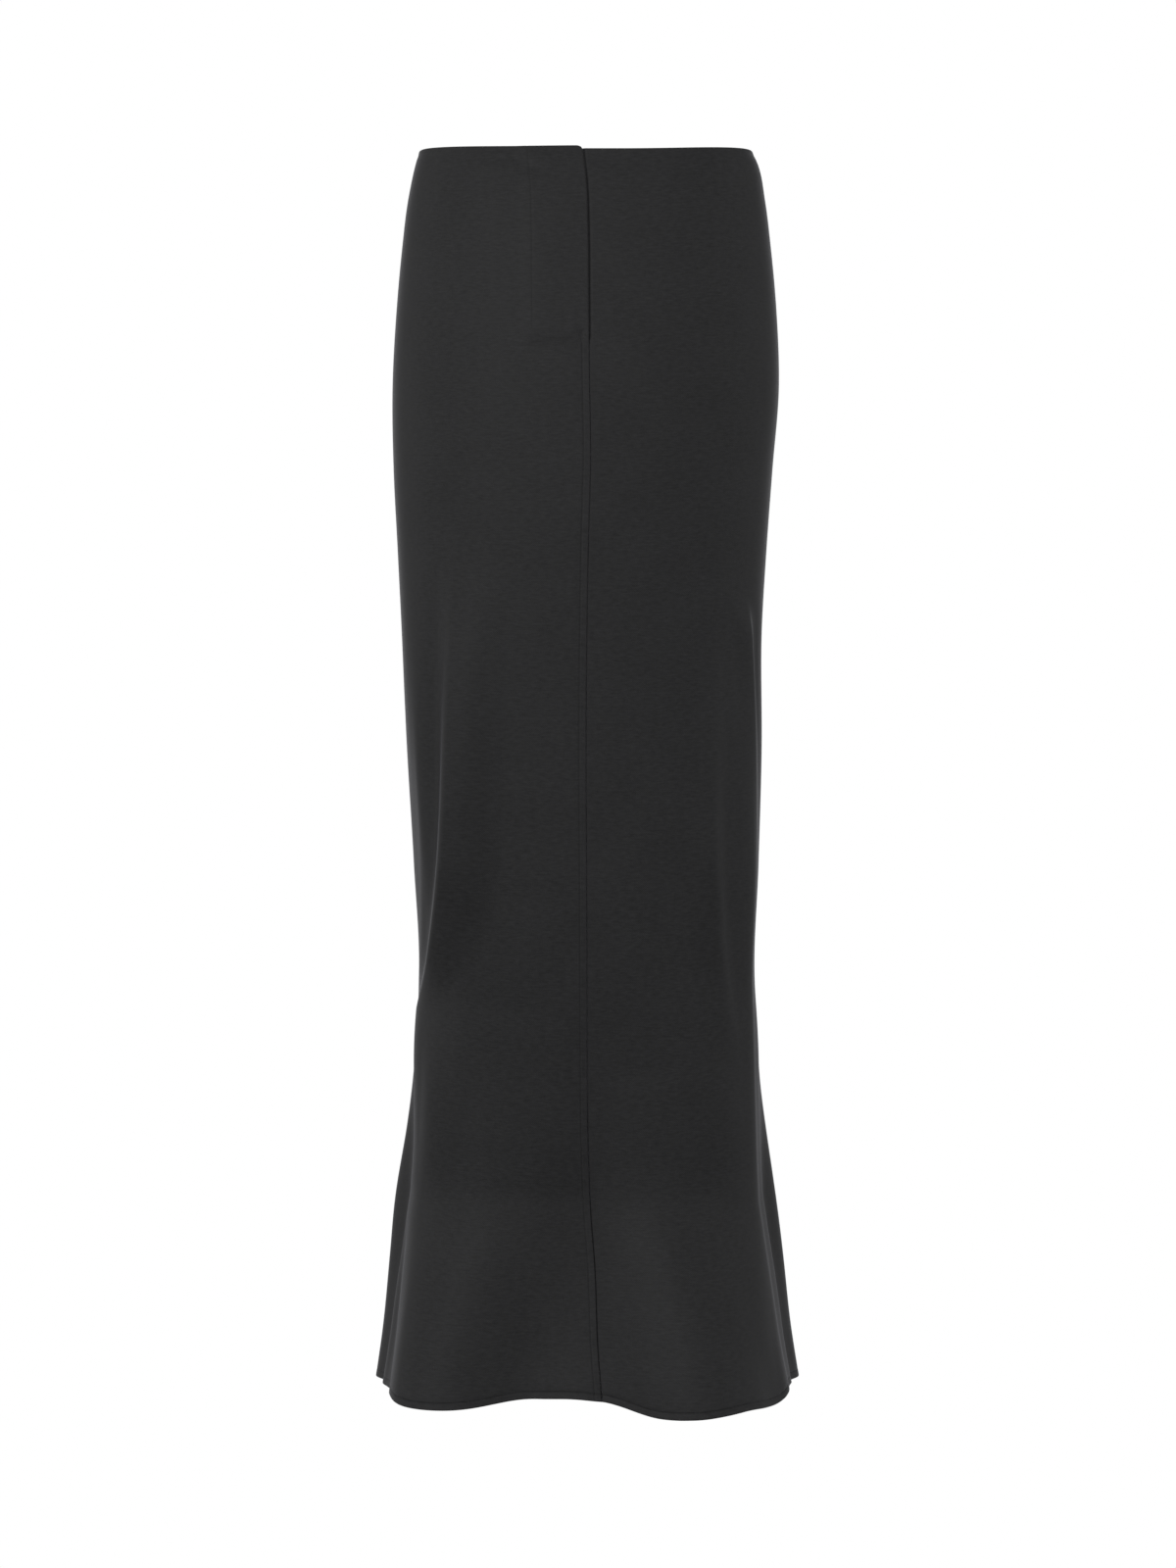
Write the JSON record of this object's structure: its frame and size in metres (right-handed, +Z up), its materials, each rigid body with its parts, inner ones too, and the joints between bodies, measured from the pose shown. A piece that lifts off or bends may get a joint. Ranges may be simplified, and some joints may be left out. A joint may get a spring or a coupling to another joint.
{
  "type": "long pencil skirt with a fishtail hem",
  "caption": "Long black pencil skirt in worn, hollow form, with a concealed fly, a centre-front seam and a flared fishtail hem.",
  "frame": {"origin": "centre of the waist opening, level with the centre front of the waist edge", "axes": "+Z up along the body, -Y to the front with the fly, +X to the wearer's left"},
  "size_m": [0.3692, 0.3149, 1.0717],
  "materials": {
    "cloth": "matt black suiting with a faint sheen at the edges",
    "zip": "black woven zip tape with a nylon coil"
  },
  "bodies": {
    "root": {"front_right": "cloth", "front_left": "cloth", "back": "cloth", "zip": "zip"}
  },
  "joints": []
}
